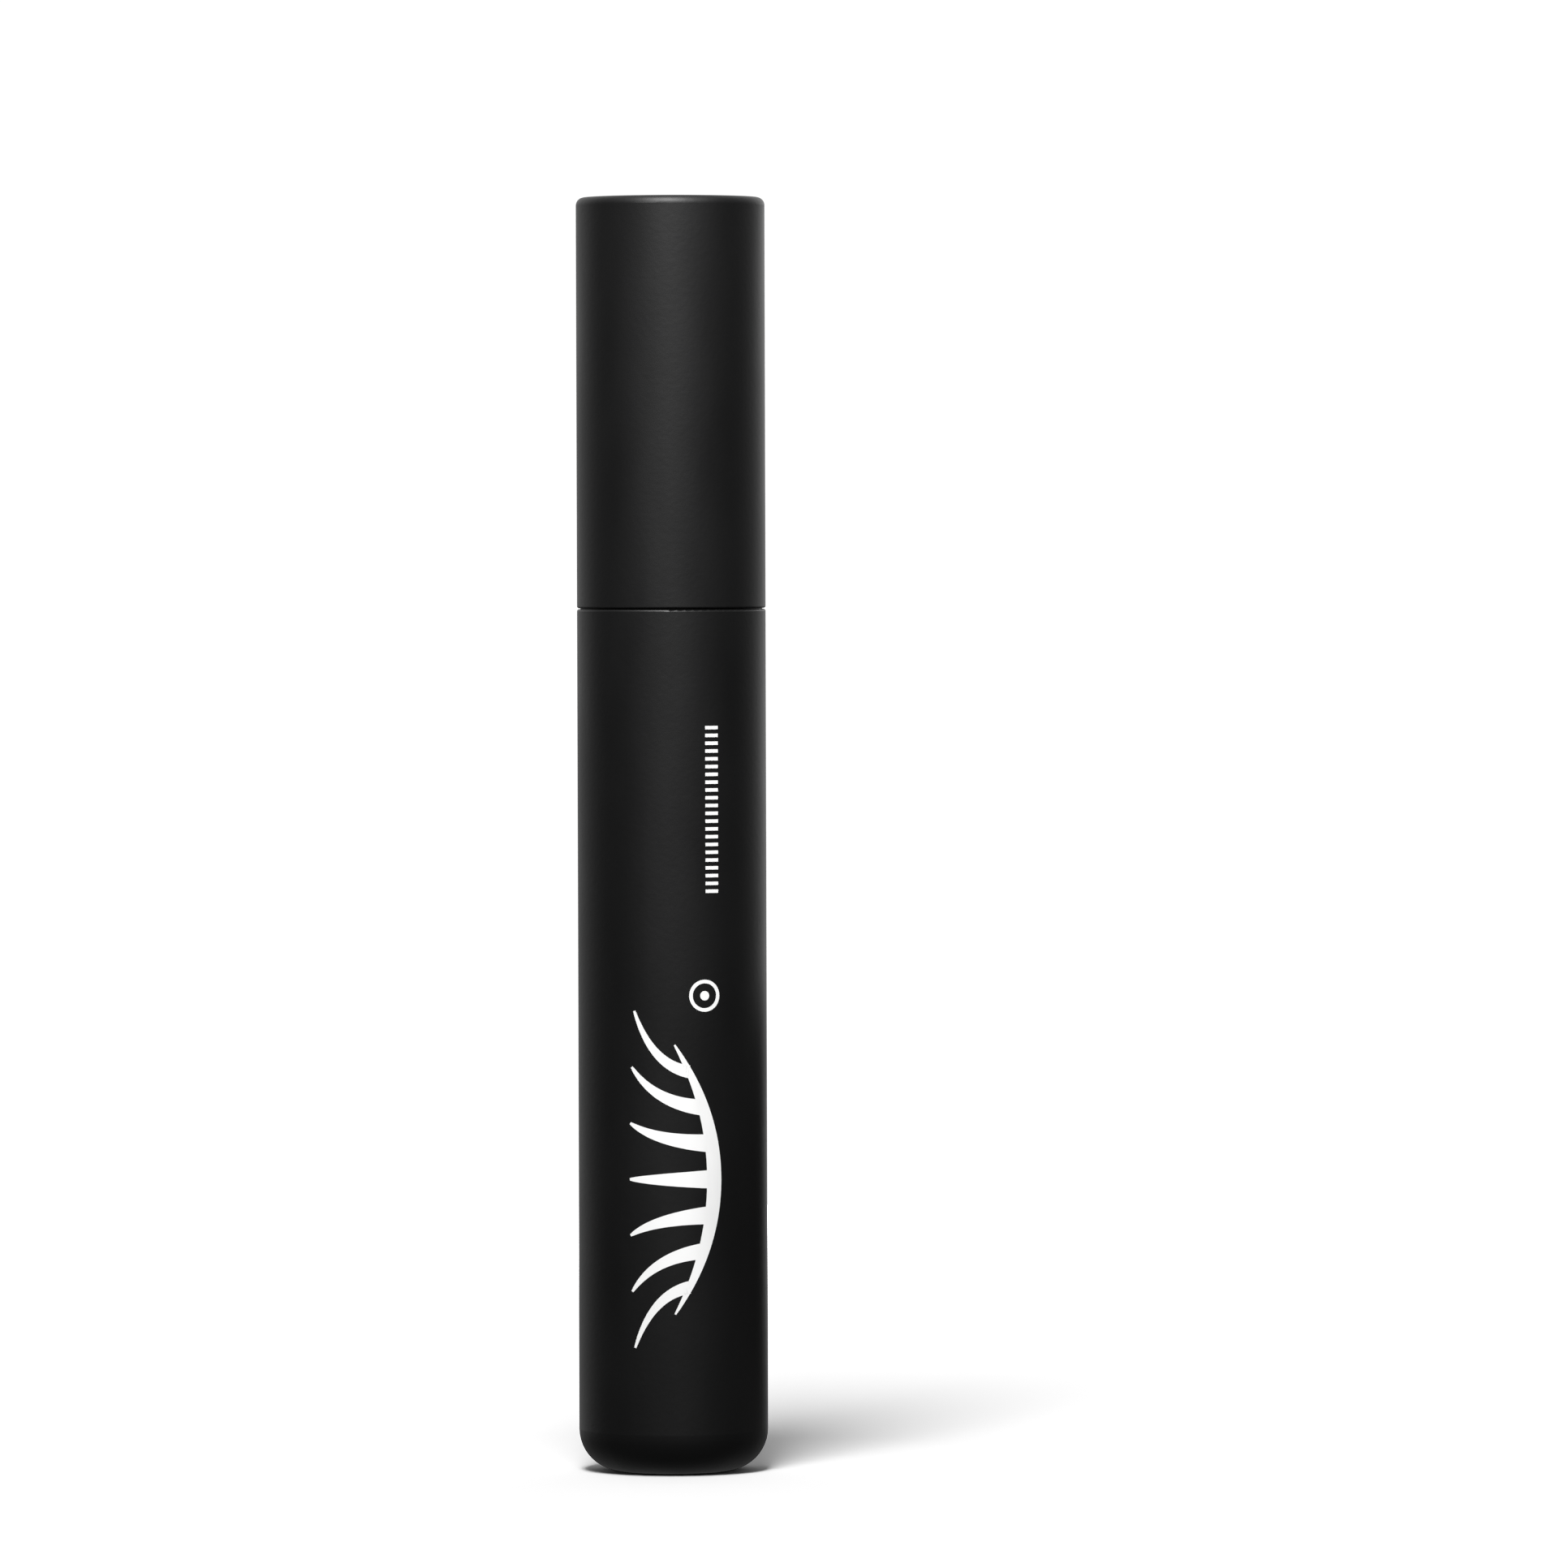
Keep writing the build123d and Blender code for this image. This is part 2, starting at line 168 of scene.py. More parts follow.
def soft_light(name, place, aim, width, height, watts):
    """A soft rectangular light at place, turned to aim."""
    light = bpy.data.lights.new(name, "AREA")
    light.shape = "RECTANGLE"
    light.size = width
    light.size_y = height
    light.energy = watts
    lamp = bpy.data.objects.new(name, light)
    bpy.context.scene.collection.objects.link(lamp)
    lamp.location = place
    lamp.rotation_mode = "QUATERNION"
    lamp.rotation_quaternion = (Vector(aim) - lamp.location).to_track_quat("-Z", "Y")
    lamp.visible_camera = False
    return lamp


def link_floor(lamp, floor, state):
    """Keeps a light to the floor (INCLUDE), or off it, where it would add a shadow (EXCLUDE)."""
    group = bpy.data.collections.new(lamp.name + "_floor")
    group.objects.link(floor)
    group.collection_objects[0].light_linking.link_state = state
    lamp.light_linking.receiver_collection = group


def make_flag():
    """A black card beside the base, seen only in reflections, that keeps the lower right flank dark."""
    away = Vector((math.sin(flag_turn), -math.cos(flag_turn), 0))
    across = Vector((-away.y, away.x, 0)) * flag_width / 2
    foot = away * flag_distance
    top = Vector((0, 0, flag_height))
    mesh = bpy.data.meshes.new("flag")
    corners = [foot - across, foot + across, foot + across + top, foot - across + top]
    mesh.from_pydata(corners, [], [(0, 1, 2, 3)])
    flag = bpy.data.objects.new("flag", mesh)
    bpy.context.scene.collection.objects.link(flag)
    black = bpy.data.materials.new("flag_black")
    black.use_nodes = True
    shader = black.node_tree.nodes["Principled BSDF"]
    shader.inputs["Base Color"].default_value = (0, 0, 0, 1)
    shader.inputs["Specular IOR Level"].default_value = 0
    mesh.materials.append(black)
    flag.visible_camera = False
    flag.visible_shadow = False
    flag.visible_diffuse = False


def make_floor():
    """A white floor that shows only the object's soft shadow, and fades out before its edge."""
    half = floor_half
    corners = [(-half, -half, 0), (half, -half, 0), (half, half, 0), (-half, half, 0)]
    mesh = bpy.data.meshes.new("floor")
    mesh.from_pydata(corners, [], [(0, 1, 2, 3)])
    floor = bpy.data.objects.new("floor", mesh)
    bpy.context.scene.collection.objects.link(floor)
    white = bpy.data.materials.new("floor_white")
    white.use_nodes = True
    tree = white.node_tree
    distance = tree.nodes.new("ShaderNodeVectorMath")
    distance.operation = "LENGTH"
    tree.links.new(tree.nodes.new("ShaderNodeTexCoord").outputs["Object"], distance.inputs[0])
    fade = mapped(tree, distance.outputs["Value"], floor_fade_start, floor_fade_end, 1.0, 0.0)
    shader = tree.nodes["Principled BSDF"]
    shader.inputs["Specular IOR Level"].default_value = 0
    tree.links.new(fade, shader.inputs["Alpha"])
    mesh.materials.append(white)
    floor.is_shadow_catcher = True
    floor.visible_glossy = False
    floor.visible_diffuse = False
    return floor


make_world()
floor = make_floor()
make_flag()
# Key and front make the soft highlight down the middle, and rim lifts the right edge. Overhead lights
# the floor alone, so it is what casts the shadow.
key = soft_light("key", (-0.038, -0.28, 0.50), (0, 0, 0.07), width=0.10, height=0.38, watts=4.3)
front = soft_light("front", (0.010, -0.21, 0.28), (0, 0, 0.13), width=0.08, height=0.08, watts=0.65)
rim = soft_light("rim", (0.20, 0.42, 0.15), (0, 0, 0.08), width=0.20, height=0.35, watts=0.15)
overhead = soft_light("overhead", (-0.043, -0.21, 0.50), (0, 0, 0.05), 0.12, 0.26, watts=3.5)
for lamp in (key, front, rim):
    link_floor(lamp, floor, "EXCLUDE")
link_floor(overhead, floor, "INCLUDE")


# ---------------------------------------------------------------- materials

cloud_size = 7 * MM
cloud_stretch = (1, 1, 0.4)
cloud_tint = 0.12
cloud_gloss = 0.03
ripple_size = 0.6 * MM


def roughened(tree, height, distance, under=None):
    """The surface's normal, bumped by a height of 0 to 1 over a distance in metres."""
    bump = tree.nodes.new("ShaderNodeBump")
    bump.inputs["Strength"].default_value = 1.0
    bump.inputs["Distance"].default_value = distance
    tree.links.new(height, bump.inputs["Height"])
    if under:
        tree.links.new(under, bump.inputs["Normal"])
    return bump.outputs["Normal"]


def plastic(name, colour, roughness, grain=0.0, grain_size=0.12 * MM, ripple=0.0, specular=0.5):
    """Plastic, rubber, foam or ink: faintly cloudy, with a fine grain over broader ripples.

    Grain and ripple are heights in metres, and 0 leaves them out.
    """
    material = bpy.data.materials.new(name)
    material.use_nodes = True
    tree = material.node_tree
    shader = tree.nodes["Principled BSDF"]
    place = tree.nodes.new("ShaderNodeTexCoord").outputs["Object"]
    cloud = noise(tree, place, cloud_size, 3.0, cloud_stretch)
    tint = tree.nodes.new("ShaderNodeMix")
    tint.data_type = "RGBA"
    tint.inputs["A"].default_value = (*[c * (1 - cloud_tint) for c in colour], 1)
    tint.inputs["B"].default_value = (*[c * (1 + cloud_tint) for c in colour], 1)
    tree.links.new(cloud, tint.inputs["Factor"])
    tree.links.new(tint.outputs["Result"], shader.inputs["Base Color"])
    gloss = mapped(tree, cloud, 0.25, 0.75, roughness - cloud_gloss, roughness + cloud_gloss)
    tree.links.new(gloss, shader.inputs["Roughness"])
    shader.inputs["Specular IOR Level"].default_value = specular
    normal = None
    if ripple:
        normal = roughened(tree, noise(tree, place, ripple_size, 1.0), ripple)
    if grain:
        normal = roughened(tree, noise(tree, place, grain_size, 2.0), grain, normal)
    if normal:
        tree.links.new(normal, shader.inputs["Normal"])
    return material


def finish_node(node, material):
    """Gives a CAD node its material."""
    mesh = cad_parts[node].data
    mesh.materials.clear()
    mesh.materials.append(material)


soft_touch = plastic(
    "soft_touch", (0.0035, 0.0035, 0.0036), 0.5, grain=0.004 * MM, ripple=0.01 * MM, specular=0.37
)
liner = plastic("liner", (0.045, 0.045, 0.046), 0.34, grain=0.002 * MM, grain_size=0.2 * MM)
bottle = plastic("bottle", (0.012, 0.012, 0.0125), 0.24, grain=0.0015 * MM, grain_size=0.3 * MM)
foam = plastic("foam", (0.62, 0.61, 0.58), 0.85, grain=0.02 * MM, grain_size=0.15 * MM)
finish_node("outer_shell", soft_touch)
finish_node("outer_cap", soft_touch)
finish_node("inner_cap", liner)
finish_node("inner_bottle", bottle)
finish_node("wiper", plastic("wiper_rubber", (0.03, 0.03, 0.031), 0.42, grain=0.002 * MM))
finish_node("rod", plastic("rod_gloss", (0.008, 0.008, 0.0082), 0.2))
finish_node("seal_washer", foam)
finish_node("base_label", plastic("label_film", (0.70, 0.70, 0.69), 0.45, grain=0.001 * MM))


# ---------------------------------------------------------------- mesh helpers


def make_piece(name, vertices, faces, body, material, slot):
    """A smooth-shaded piece from vertices in millimetres, riding on a body."""
    mesh = bpy.data.meshes.new(name)
    mesh.from_pydata((np.asarray(vertices) * MM).tolist(), [], [list(map(int, face)) for face in faces])
    mesh.polygons.foreach_set("use_smooth", [True] * len(mesh.polygons))
    mesh.materials.append(material)
    mesh.update()
    piece = bpy.data.objects.new(name, mesh)
    bpy.context.scene.collection.objects.link(piece)
    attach(piece, body)
    return piece


# ---------------------------------------------------------------- print on the body

tube_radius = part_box("outer_shell")[1].x / MM
ink_top = 0.03
ink_root = -0.01
ink_crease = math.radians(40)
ink_colour = (0.92, 0.92, 0.915)
ink = plastic("ink_white", ink_colour, 0.45, grain=0.001 * MM, grain_size=0.2 * MM, specular=0.4)


def wrapped(u, v, lift):
    """The point at arc length u round from the front, at height v, lift above the tube's skin."""
    radius = tube_radius + lift
    return (radius * math.sin(u / tube_radius), -radius * math.cos(u / tube_radius), v)


def stroke(centre, width, length_steps, width_steps=6):
    """A thin closed patch of ink along centre(t), width(t) wide, as vertices and faces."""
    nudge = 0.01
    vertices = []
    for step in range(length_steps + 1):
        t = step / length_steps
        here = np.array(centre(t))
        ahead = np.array(centre(min(t + nudge, 1.0))) - np.array(centre(max(t - nudge, 0.0)))
        across = np.array((-ahead[1], ahead[0])) / np.hypot(*ahead)
        for side in range(width_steps + 1):
            u, v = here + across * width(t) * (side / width_steps - 0.5)
            vertices.append(wrapped(u, v, ink_top))
            vertices.append(wrapped(u, v, ink_root))
    row = 2 * (width_steps + 1)
    faces = []
    for a in range(0, length_steps * row, row):
        for side in range(width_steps):
            b = a + 2 * side
            faces.append((b, b + row, b + row + 2, b + 2))
            faces.append((b + 1, b + 3, b + row + 3, b + row + 1))
        faces.append((a, a + 1, a + row + 1, a + row))
        c = a + row - 2
        faces.append((c, c + row, c + row + 1, c + 1))
    last = length_steps * row
    for side in range(width_steps):
        b = 2 * side
        faces.append((b, b + 2, b + 3, b + 1))
        faces.append((last + b, last + b + 1, last + b + 3, last + b + 2))
    return vertices, faces


def bent_line(start, bend, end):
    """A quadratic curve through the plane as a function of t."""
    start, bend, end = np.array(start), np.array(bend), np.array(end)
    return lambda t: (1 - t) ** 2 * start + 2 * t * (1 - t) * bend + t * t * end


def join(parts):
    """Several lists of vertices and faces as one."""
    vertices, faces = [], []
    for part_vertices, part_faces in parts:
        offset = len(vertices)
        vertices.extend(part_vertices)
        faces.extend([tuple(i + offset for i in face) for face in part_faces])
    return vertices, faces


def lash_motif():
    """A closed eye on its side: a lid on the right, with curved lashes that fan out to the left."""
    middle = 31.4
    half_lid = 14.2
    lid_bow = 4.3
    lid_edge = 0.3
    lid_thick = 1.45
    lash_count = 7
    lash_span = 0.4
    longest = 9.2
    shortening = 0.36
    thickest = 1.75
    thinning = 0.65
    spread = 6.4
    lid_end, lash_end = 0.2, 0.25

    def lid(t):
        across = 2 * t - 1
        return (lid_edge + lid_bow * (1 - across * across), middle + half_lid * across)

    parts = [stroke(lid, lambda t: lid_end + lid_thick * math.sin(math.pi * t) ** 0.9, 48)]
    for index in range(lash_count):
        fan = 2 * index / (lash_count - 1) - 1
        root = np.array(lid(0.5 + lash_span * fan))
        length = longest * (1 - shortening * fan * fan)
        thick = thickest - thinning * fan * fan
        tip = root + np.array((-length, spread * fan))
        bend = root + np.array((-0.66 * length, 0.1 * spread * fan))
        centre = bent_line(root, bend, tip)
        parts.append(stroke(centre, lambda t: thick * (1 - t) ** 0.8 + lash_end, 20))
    return parts


def ring_mark():
    """A small ring with a dot in it."""
    centre = np.array((3.56, 50.75))
    ring_radius = 1.5
    ring_width = 0.38
    dot_radius = 0.5

    def circle(radius):
        def around(t):
            return centre + radius * np.array((math.sin(2 * math.pi * t), math.cos(2 * math.pi * t)))

        return around

    return [
        stroke(circle(ring_radius), lambda t: ring_width, 48, 3),
        stroke(circle(dot_radius / 2), lambda t: dot_radius, 24, 3),
    ]


def bar_row():
    """A row of plain short bars up the body."""
    bar_count = 22
    left, right = 3.7, 5.15
    bottom, pitch, thickness = 61.75, 0.82, 0.36
    parts = []
    for index in range(bar_count):
        height = bottom + pitch * index
        centre = bent_line((left, height), ((left + right) / 2, height), (right, height))
        parts.append(stroke(centre, lambda t: thickness, 6, 2))
    return parts


def print_on_tube(name, parts):
    """A piece of white ink on the body, flat on top with a crisp rim."""
    piece = make_piece(name, *join(parts), "tube", ink, "label")
    piece.data.set_sharp_from_angle(angle=ink_crease)


print_on_tube("print_lashes", lash_motif())
print_on_tube("print_ring", ring_mark())
print_on_tube("print_bars", bar_row())


# ---------------------------------------------------------------- wet brush

brush_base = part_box("bristles")[1].z / MM
brush_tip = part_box("bristles")[0].z / MM
brush_length = brush_base - brush_tip
brush_limit = 4.18
wire_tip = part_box("brush_wire")[0].z / MM
rod_radius = 1.85
twist_lead = 2.82
clumps_per_turn = 21
grid_step = 0.12
empty_distance = 5.0
most_paste_triangles = 190000
rng = np.random.default_rng(7)


def brush_radius(s):
    """The bristles' reach at distance s from the brush's base: widest there, with a waist."""
    stations = np.array((0.0, 1.8, 4.5, 8.2, 12.5, 16.5, 20.8, 23.4, 25.0, 26.0))
    reach = np.array((3.55, 4.0, 3.9, 3.45, 3.15, 3.3, 3.55, 3.25, 2.7, 2.35))
    return np.interp(s, stations * brush_length / stations[-1], reach)


def core_radius(s):
    """The radius of the solid wet core at distance s from the base, fuller near the base."""
    stations = (-1.0, 0.0, 1.5, 5.0, 8.5, 13.0, 22.0, brush_length)
    return np.interp(s, stations, (1.3, 2.2, 2.55, 2.2, 1.8, 1.65, 1.5, 1.35))


def smooth_union(a, b, blend):
    """Two distance fields joined with a fillet."""
    overlap = np.maximum(blend - np.abs(a - b), 0) / blend
    return np.minimum(a, b) - overlap * overlap * blend / 4


class DistanceGrid:
    """Distances in millimetres to a wet surface, sampled on a grid and negative inside it."""

    def __init__(self, low, high, step):
        self.low = np.array(low, dtype=float)
        self.step = step
        self.axes = [np.arange(a, b, step) for a, b in zip(low, high)]
        self.values = np.full([len(axis) for axis in self.axes], empty_distance, dtype=np.float32)

    def window(self, low, high):
        """The slices of the grid that cover a box, and the coordinates there."""
        first = np.maximum(((np.array(low) - self.low) / self.step).astype(int), 0)
        last = ((np.array(high) - self.low) / self.step).astype(int) + 2
        slices = tuple(slice(a, b) for a, b in zip(first, last))
        axes = [axis[part] for axis, part in zip(self.axes, slices)]
        return slices, np.meshgrid(*axes, indexing="ij", sparse=True)

    def add_limb(self, start, end, start_radius, end_radius, blend):
        """Joins a tapering rod with round ends."""
        start, end = np.array(start), np.array(end)
        reach = max(start_radius, end_radius) + blend + self.step
        slices, (x, y, z) = self.window(np.minimum(start, end) - reach, np.maximum(start, end) + reach)
        along = end - start
        t = (x - start[0]) * along[0] + (y - start[1]) * along[1] + (z - start[2]) * along[2]
        t = np.clip(t / (along @ along), 0, 1)
        off_x = x - start[0] - t * along[0]
        off_y = y - start[1] - t * along[1]
        off_z = z - start[2] - t * along[2]
        radius = start_radius + (end_radius - start_radius) * t
        distance = np.sqrt(off_x**2 + off_y**2 + off_z**2) - radius
        self.values[slices] = smooth_union(self.values[slices], distance, blend)

    def cut_bubble(self, centre, radius):
        """Takes out a round bubble."""
        centre = np.array(centre)
        slices, (x, y, z) = self.window(centre - radius - self.step, centre + radius + self.step)
        distance = np.sqrt((x - centre[0]) ** 2 + (y - centre[1]) ** 2 + (z - centre[2]) ** 2)
        self.values[slices] = np.maximum(self.values[slices], radius - distance)


def polar(radius, angle, height):
    """A point at a radius and angle round the tube's axis."""
    return np.array((radius * math.cos(angle), radius * math.sin(angle), height))


def wet_core(grid):
    """The lumpy paste round the wire, the film on the stem's end, and a drop over the wire's tip.

    Here s is the distance from the brush's base towards its tip, and is negative along the stem.
    """
    end_gap = 0.15
    film_slope = 0.12
    film_limit = 8.0
    film_fillet = 0.5
    x, y, z = np.meshgrid(*grid.axes, indexing="ij", sparse=True)
    s = brush_base - z
    angle = np.arctan2(y, x)
    lumps = 0.16 * np.sin(3 * angle + 1.1 * s) + 0.13 * np.sin(2 * angle - 1.9 * s + 1)
    lumps = lumps + 0.10 * np.sin(5 * angle + 3.3 * s + 2) + 0.08 * np.sin(4 * angle - 5.1 * s)
    inner = np.sqrt(x**2 + y**2)
    core = inner - core_radius(s) - lumps
    core = np.maximum(core, s - brush_length + end_gap)
    core = np.maximum(core, -0.05 - s)
    edge = 6.4 + 0.9 * np.sin(angle + 0.6) + 0.5 * np.sin(3 * angle)
    depth = 0.09 + 0.05 * np.sin(2 * angle + 0.9 * s) + 0.04 * np.sin(5 * angle - 0.5 * s)
    film = inner - rod_radius - np.minimum(depth, (edge + s) * film_slope)
    film = np.maximum(film, -film_limit - s)
    film = np.maximum(film, s + end_gap)
    grid.values[:] = smooth_union(core, film, film_fillet)
    grid.add_limb((0, 0, brush_tip + 1.6), (0, 0, wire_tip + 0.55), 0.85, 0.58, 0.7)


def clumps(grid):
    """Bristles stuck in tapering clumps along both rows of the twist. Returns where each one ends."""
    ends = []
    turns = (brush_length - 0.7) / twist_lead
    for row, index in itertools.product(range(2), range(int(clumps_per_turn * turns))):
        angle = 2 * math.pi * index / clumps_per_turn + rng.normal(0, 0.07)
        rise = twist_lead * (index / clumps_per_turn)
        height = brush_tip + 0.45 + rise + rng.normal(0, 0.06)
        angle += math.pi * row
        reach = float(brush_radius(brush_base - height)) * rng.uniform(0.86, 1.0)
        tilt = rng.normal(0, 0.10)
        turn = rng.normal(0, 0.06)
        thick = rng.uniform(0.85, 1.2)
        root = polar(1.1, angle, height)
        elbow = polar(0.8 * reach, angle + turn, height + tilt)
        end = polar(rng.uniform(0.9, 0.96) * reach, angle + 1.4 * turn, height + 1.5 * tilt)
        grid.add_limb(root, elbow, 0.30 * thick, 0.27 * thick, 0.14)
        grid.add_limb(elbow, end, 0.27 * thick, 0.13, 0.10)
        ends.append((angle + turn, height + tilt, reach))
    return ends


def webs(grid, ends):
    """Bridges of paste between neighbouring clumps and rows."""
    side_webs, row_webs = 110, 50
    thick, thin, blend = 0.15, 0.08, 0.15
    per_row = len(ends) // 2
    for index in rng.choice(len(ends) - 1, side_webs, replace=False):
        angle, height, reach = ends[index]
        other_angle, other_height, other_reach = ends[index + 1]
        if (index + 1) % per_row == 0:
            continue
        out = rng.uniform(0.6, 0.86)
        start = polar(out * reach, angle, height)
        end = polar(out * other_reach, other_angle, other_height)
        grid.add_limb(start, end, thick, thick, blend)
    for index in rng.choice(len(ends), row_webs, replace=False):
        angle, height, reach = ends[index]
        out = rng.uniform(0.55, 0.8) * reach
        sway = rng.normal(0, 0.12)
        rise = twist_lead / 2
        if height + rise < brush_base - 0.3:
            middle = polar(out * 0.97, angle + sway / 2, height + rise / 2)
            grid.add_limb(polar(out, angle, height), middle, thick, thin, blend)
            grid.add_limb(middle, polar(out, angle + sway, height + rise), thin, thick, blend)


def drips(grid):
    """Paste drawn from the brush's base onto one side of the stem, with a gap behind it."""
    for turn, width in ((-0.35, 0.14), (-0.1, 0.10), (0.22, 0.12)):
        top = polar(2.35, turn, brush_base - 0.8)
        middle = polar(1.94, turn * 0.7, brush_base + 0.2)
        foot = polar(1.90, turn * 0.5, brush_base + 3.2)
        grid.add_limb(top, middle, width + 0.1, width, 0.2)
        grid.add_limb(middle, foot, width, 0.06, 0.1)


def bubbles(grid):
    """Open bubbles between the rows and pits in the core."""
    bubble_count = 150
    for _ in range(bubble_count):
        height = rng.uniform(brush_tip + 1.0, brush_base - 0.6)
        reach = float(core_radius(brush_base - height))
        out = reach + rng.uniform(0.1, 0.7)
        grid.cut_bubble(polar(out, rng.uniform(0, 2 * math.pi), height), rng.uniform(0.16, 0.36))


def ragged_tip(grid):
    """Short clumps that fan out flat round the brush's tip, pitted by small bubbles."""
    clump_count, pit_count = 9, 14
    for index in range(clump_count):
        angle = 2 * math.pi * index / clump_count + rng.normal(0, 0.15)
        root = polar(0.5, angle, brush_tip + 0.8)
        reach = rng.uniform(1.5, 2.25)
        end = polar(reach, angle + rng.normal(0, 0.15), brush_tip + rng.uniform(0.1, 0.5))
        grid.add_limb(root, end, 0.34, 0.16, 0.25)
    for _ in range(pit_count):
        angle = rng.uniform(0, 2 * math.pi)
        centre = polar(rng.uniform(0.8, 1.5), angle, brush_tip + rng.uniform(0.0, 0.6))
        grid.cut_bubble(centre, rng.uniform(0.12, 0.26))


def drop_islands(grid):
    """Clears whatever isn't joined to the core."""
    inside = grid.values < 0
    middle = inside.shape[0] // 2
    core = slice(middle - 2, middle + 3)
    joined = np.zeros_like(inside)
    joined[core, core] = inside[core, core]
    count = 0
    while joined.sum() != count:
        count = joined.sum()
        for _ in range(8):
            for axis in range(3):
                joined = joined | np.roll(joined, 1, axis) | np.roll(joined, -1, axis)
                joined &= inside
    grid.values[inside & ~joined] = grid.step


def surface_net(grid):
    """Vertices and quads of the grid's zero surface, one vertex in each cell that it crosses.

    Each vertex is the mean of the points where the surface cuts its cell's edges.
    """
    values = grid.values
    inside = values < 0
    cells_shape = tuple(n - 1 for n in values.shape)
    corners = list(itertools.product((0, 1), repeat=3))
    count = np.zeros(cells_shape, dtype=np.int8)
    for corner in corners:
        count += inside[tuple(slice(c, c + n) for c, n in zip(corner, cells_shape))]
    crossed = (count > 0) & (count < 8)
    number = np.full(cells_shape, -1, dtype=np.int64)
    cells = np.argwhere(crossed)
    number[crossed] = np.arange(len(cells))
    total = np.zeros((len(cells), 3))
    hits = np.zeros(len(cells))
    for axis, corner in itertools.product(range(3), corners):
        if corner[axis]:
            continue
        step = np.eye(3, dtype=int)[axis]
        low = cells + corner
        value_low = values[tuple(low.T)].astype(float)
        value_high = values[tuple((low + step).T)].astype(float)
        cross = (value_low < 0) != (value_high < 0)
        share = np.zeros(len(cells))
        share[cross] = value_low[cross] / (value_low[cross] - value_high[cross])
        total[cross] += (np.array(corner) + share[:, None] * step)[cross]
        hits += cross
    vertices = grid.low + grid.step * (cells + total / hits[:, None])
    quads = []
    for axis in range(3):
        step = np.eye(3, dtype=int)
        u, v = step[(axis + 1) % 3], step[(axis + 2) % 3]
        change = np.diff(inside.astype(np.int8), axis=axis)
        for sign in (-1, 1):
            low = np.argwhere(change == sign)
            ring = [number[tuple((low + offset).T)] for offset in (-u - v, -v, 0 * u, -u)]
            quads.append(np.stack(ring if sign < 0 else ring[::-1], axis=1))
    return vertices, np.concatenate(quads)


def thinned(mesh, most_triangles):
    """Merges triangles where the surface is plain until at most so many are left."""
    piece = bpy.data.objects.new("thinning", mesh)
    bpy.context.scene.collection.objects.link(piece)
    modifier = piece.modifiers.new("thin", "DECIMATE")
    modifier.ratio = min(1.0, most_triangles / (2 * len(mesh.polygons)))
    graph = bpy.context.evaluated_depsgraph_get()
    thin = bpy.data.meshes.new_from_object(piece.evaluated_get(graph))
    bpy.data.objects.remove(piece)
    return thin


def wet_material(name, colour, roughness, bump):
    """Wet mascara: black and finely lumpy, with dull patches on the gloss."""
    patch_size = 0.7 * MM
    lump_size = 0.28 * MM
    dullness = 0.22
    material = bpy.data.materials.new(name)
    material.use_nodes = True
    tree = material.node_tree
    shader = tree.nodes["Principled BSDF"]
    shader.inputs["Base Color"].default_value = (*colour, 1)
    place = tree.nodes.new("ShaderNodeTexCoord").outputs["Object"]
    patches = noise(tree, place, patch_size, 3.0)
    gloss = mapped(tree, patches, 0.35, 0.7, roughness, roughness + dullness)
    tree.links.new(gloss, shader.inputs["Roughness"])
    lumps = noise(tree, place, lump_size, 3.0)
    tree.links.new(roughened(tree, lumps, bump), shader.inputs["Normal"])
    return material


def hair(start, end, sag, start_radius, end_radius):
    """A single bristle: a thin five-sided tube with closed ends, bent by sag at its middle."""
    sides, steps = 5, 4
    start, end, sag = np.array(start), np.array(end), np.array(sag)
    along = (end - start) / np.linalg.norm(end - start)
    side = np.cross(along, (0, 0, 1.0))
    side /= np.linalg.norm(side)
    up = np.cross(side, along)
    vertices = []
    for step in range(steps + 1):
        t = step / steps
        centre = start + (end - start) * t + sag * 4 * t * (1 - t)
        radius = start_radius + (end_radius - start_radius) * t
        for k in range(sides):
            turn = 2 * math.pi * k / sides
            vertices.append(centre + radius * (math.cos(turn) * side + math.sin(turn) * up))
    faces = [tuple(range(sides)), tuple(range(steps * sides + sides - 1, steps * sides - 1, -1))]
    for step, k in itertools.product(range(steps), range(sides)):
        a = step * sides + k
        b = step * sides + (k + 1) % sides
        faces.append((a, a + sides, b + sides, b))
    return vertices, faces


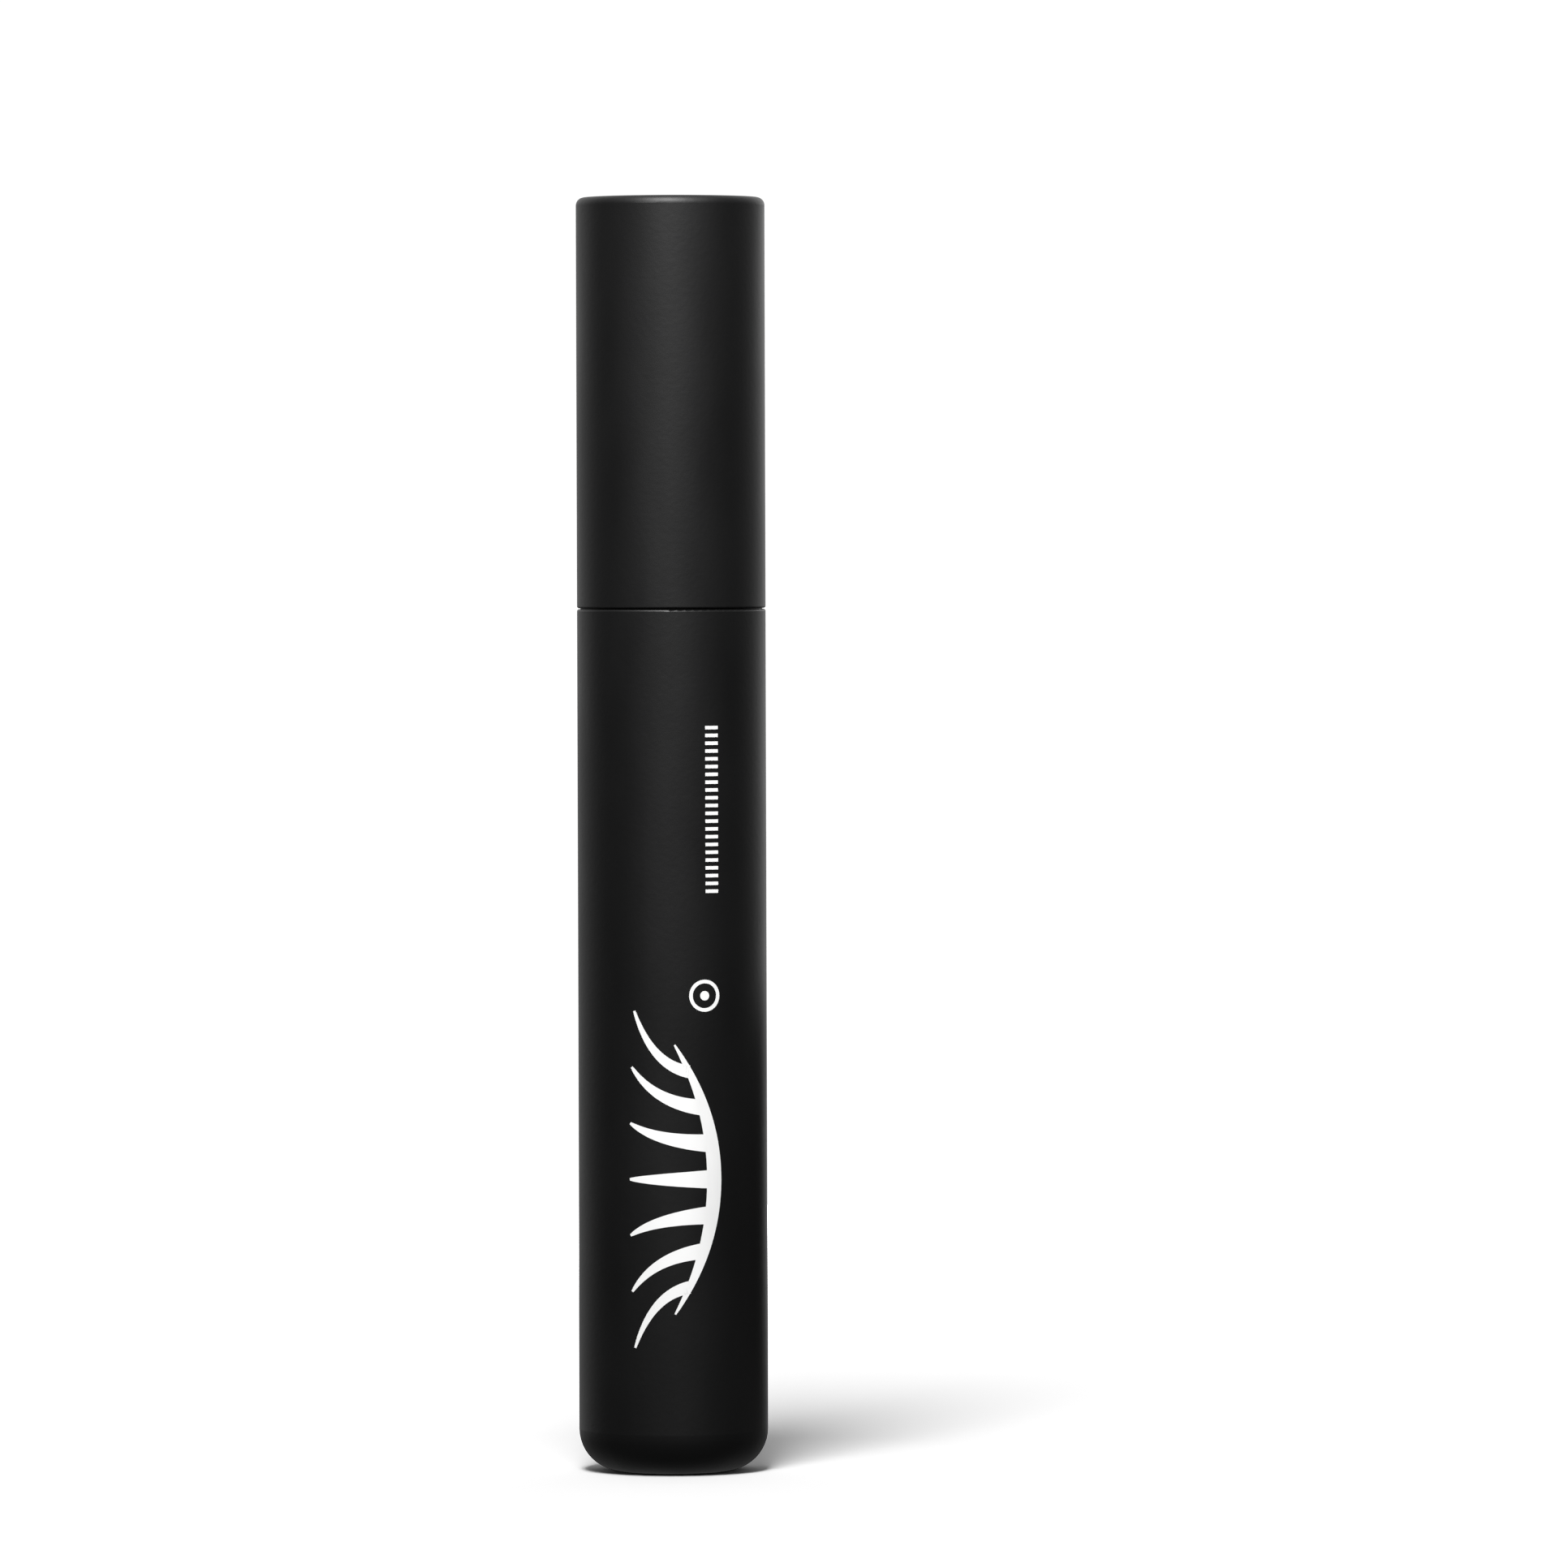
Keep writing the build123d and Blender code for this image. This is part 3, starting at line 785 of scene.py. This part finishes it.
def hairs(ends):
    """The bristles' own ends, which stand out of the clumps, and strays between the rows."""
    root_radius, end_radius = 0.05, 0.035
    farthest = brush_limit - 0.08
    stray_count = 150
    parts = []
    for angle, height, reach in ends:
        for _ in range(rng.integers(1, 4)):
            turn = angle + rng.normal(0, 0.04)
            rise = height + rng.normal(0, 0.14)
            out = min(reach * rng.uniform(0.95, 1.04), farthest)
            start = polar(0.6 * reach, angle + rng.normal(0, 0.02), rise - rng.normal(0, 0.03))
            sag = rng.normal(0, 0.03, 3)
            parts.append(hair(start, polar(out, turn, rise), sag, root_radius, end_radius))
    for _ in range(stray_count):
        height = rng.uniform(brush_tip + 0.6, brush_base - 0.3)
        angle = rng.uniform(0, 2 * math.pi)
        reach = float(brush_radius(brush_base - height))
        out = min(reach * rng.uniform(0.85, 1.05), farthest)
        end = polar(out, angle + rng.normal(0, 0.06), height + rng.normal(0, 0.25))
        sag = rng.normal(0, 0.05, 3)
        parts.append(hair(polar(1.3, angle, height), end, sag, root_radius, end_radius))
    return join(parts)


def make_brush():
    """The loaded brush, as one wet mass and the bristle ends that stand out of it."""
    edge = brush_limit + 0.2
    film_room = 8.4
    low = (-edge, -edge, wire_tip - 0.5)
    high = (edge, edge, brush_base + film_room)
    grid = DistanceGrid(low, high, grid_step)
    wet_core(grid)
    ends = clumps(grid)
    webs(grid, ends)
    drips(grid)
    bubbles(grid)
    ragged_tip(grid)
    drop_islands(grid)
    vertices, quads = surface_net(grid)
    mesh = bpy.data.meshes.new("brush_paste")
    mesh.from_pydata((vertices * MM).tolist(), [], quads.tolist())
    mesh.polygons.foreach_set("use_smooth", [True] * len(mesh.polygons))
    paste = wet_material("wet_paste", (0.004, 0.004, 0.004), 0.08, 0.02 * MM)
    mesh.materials.append(paste)
    mesh = thinned(mesh, most_paste_triangles)
    piece = bpy.data.objects.new("brush_paste", mesh)
    bpy.context.scene.collection.objects.link(piece)
    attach(piece, "applicator")
    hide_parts("bristles")
    make_piece("brush_hairs", *hairs(ends), "applicator", paste, "bristle_paste")
    finish_node("brush_wire", paste)
    finish_node("mascara_fill", wet_material("fill_paste", (0.006, 0.006, 0.006), 0.15, 0.03 * MM))


make_brush()
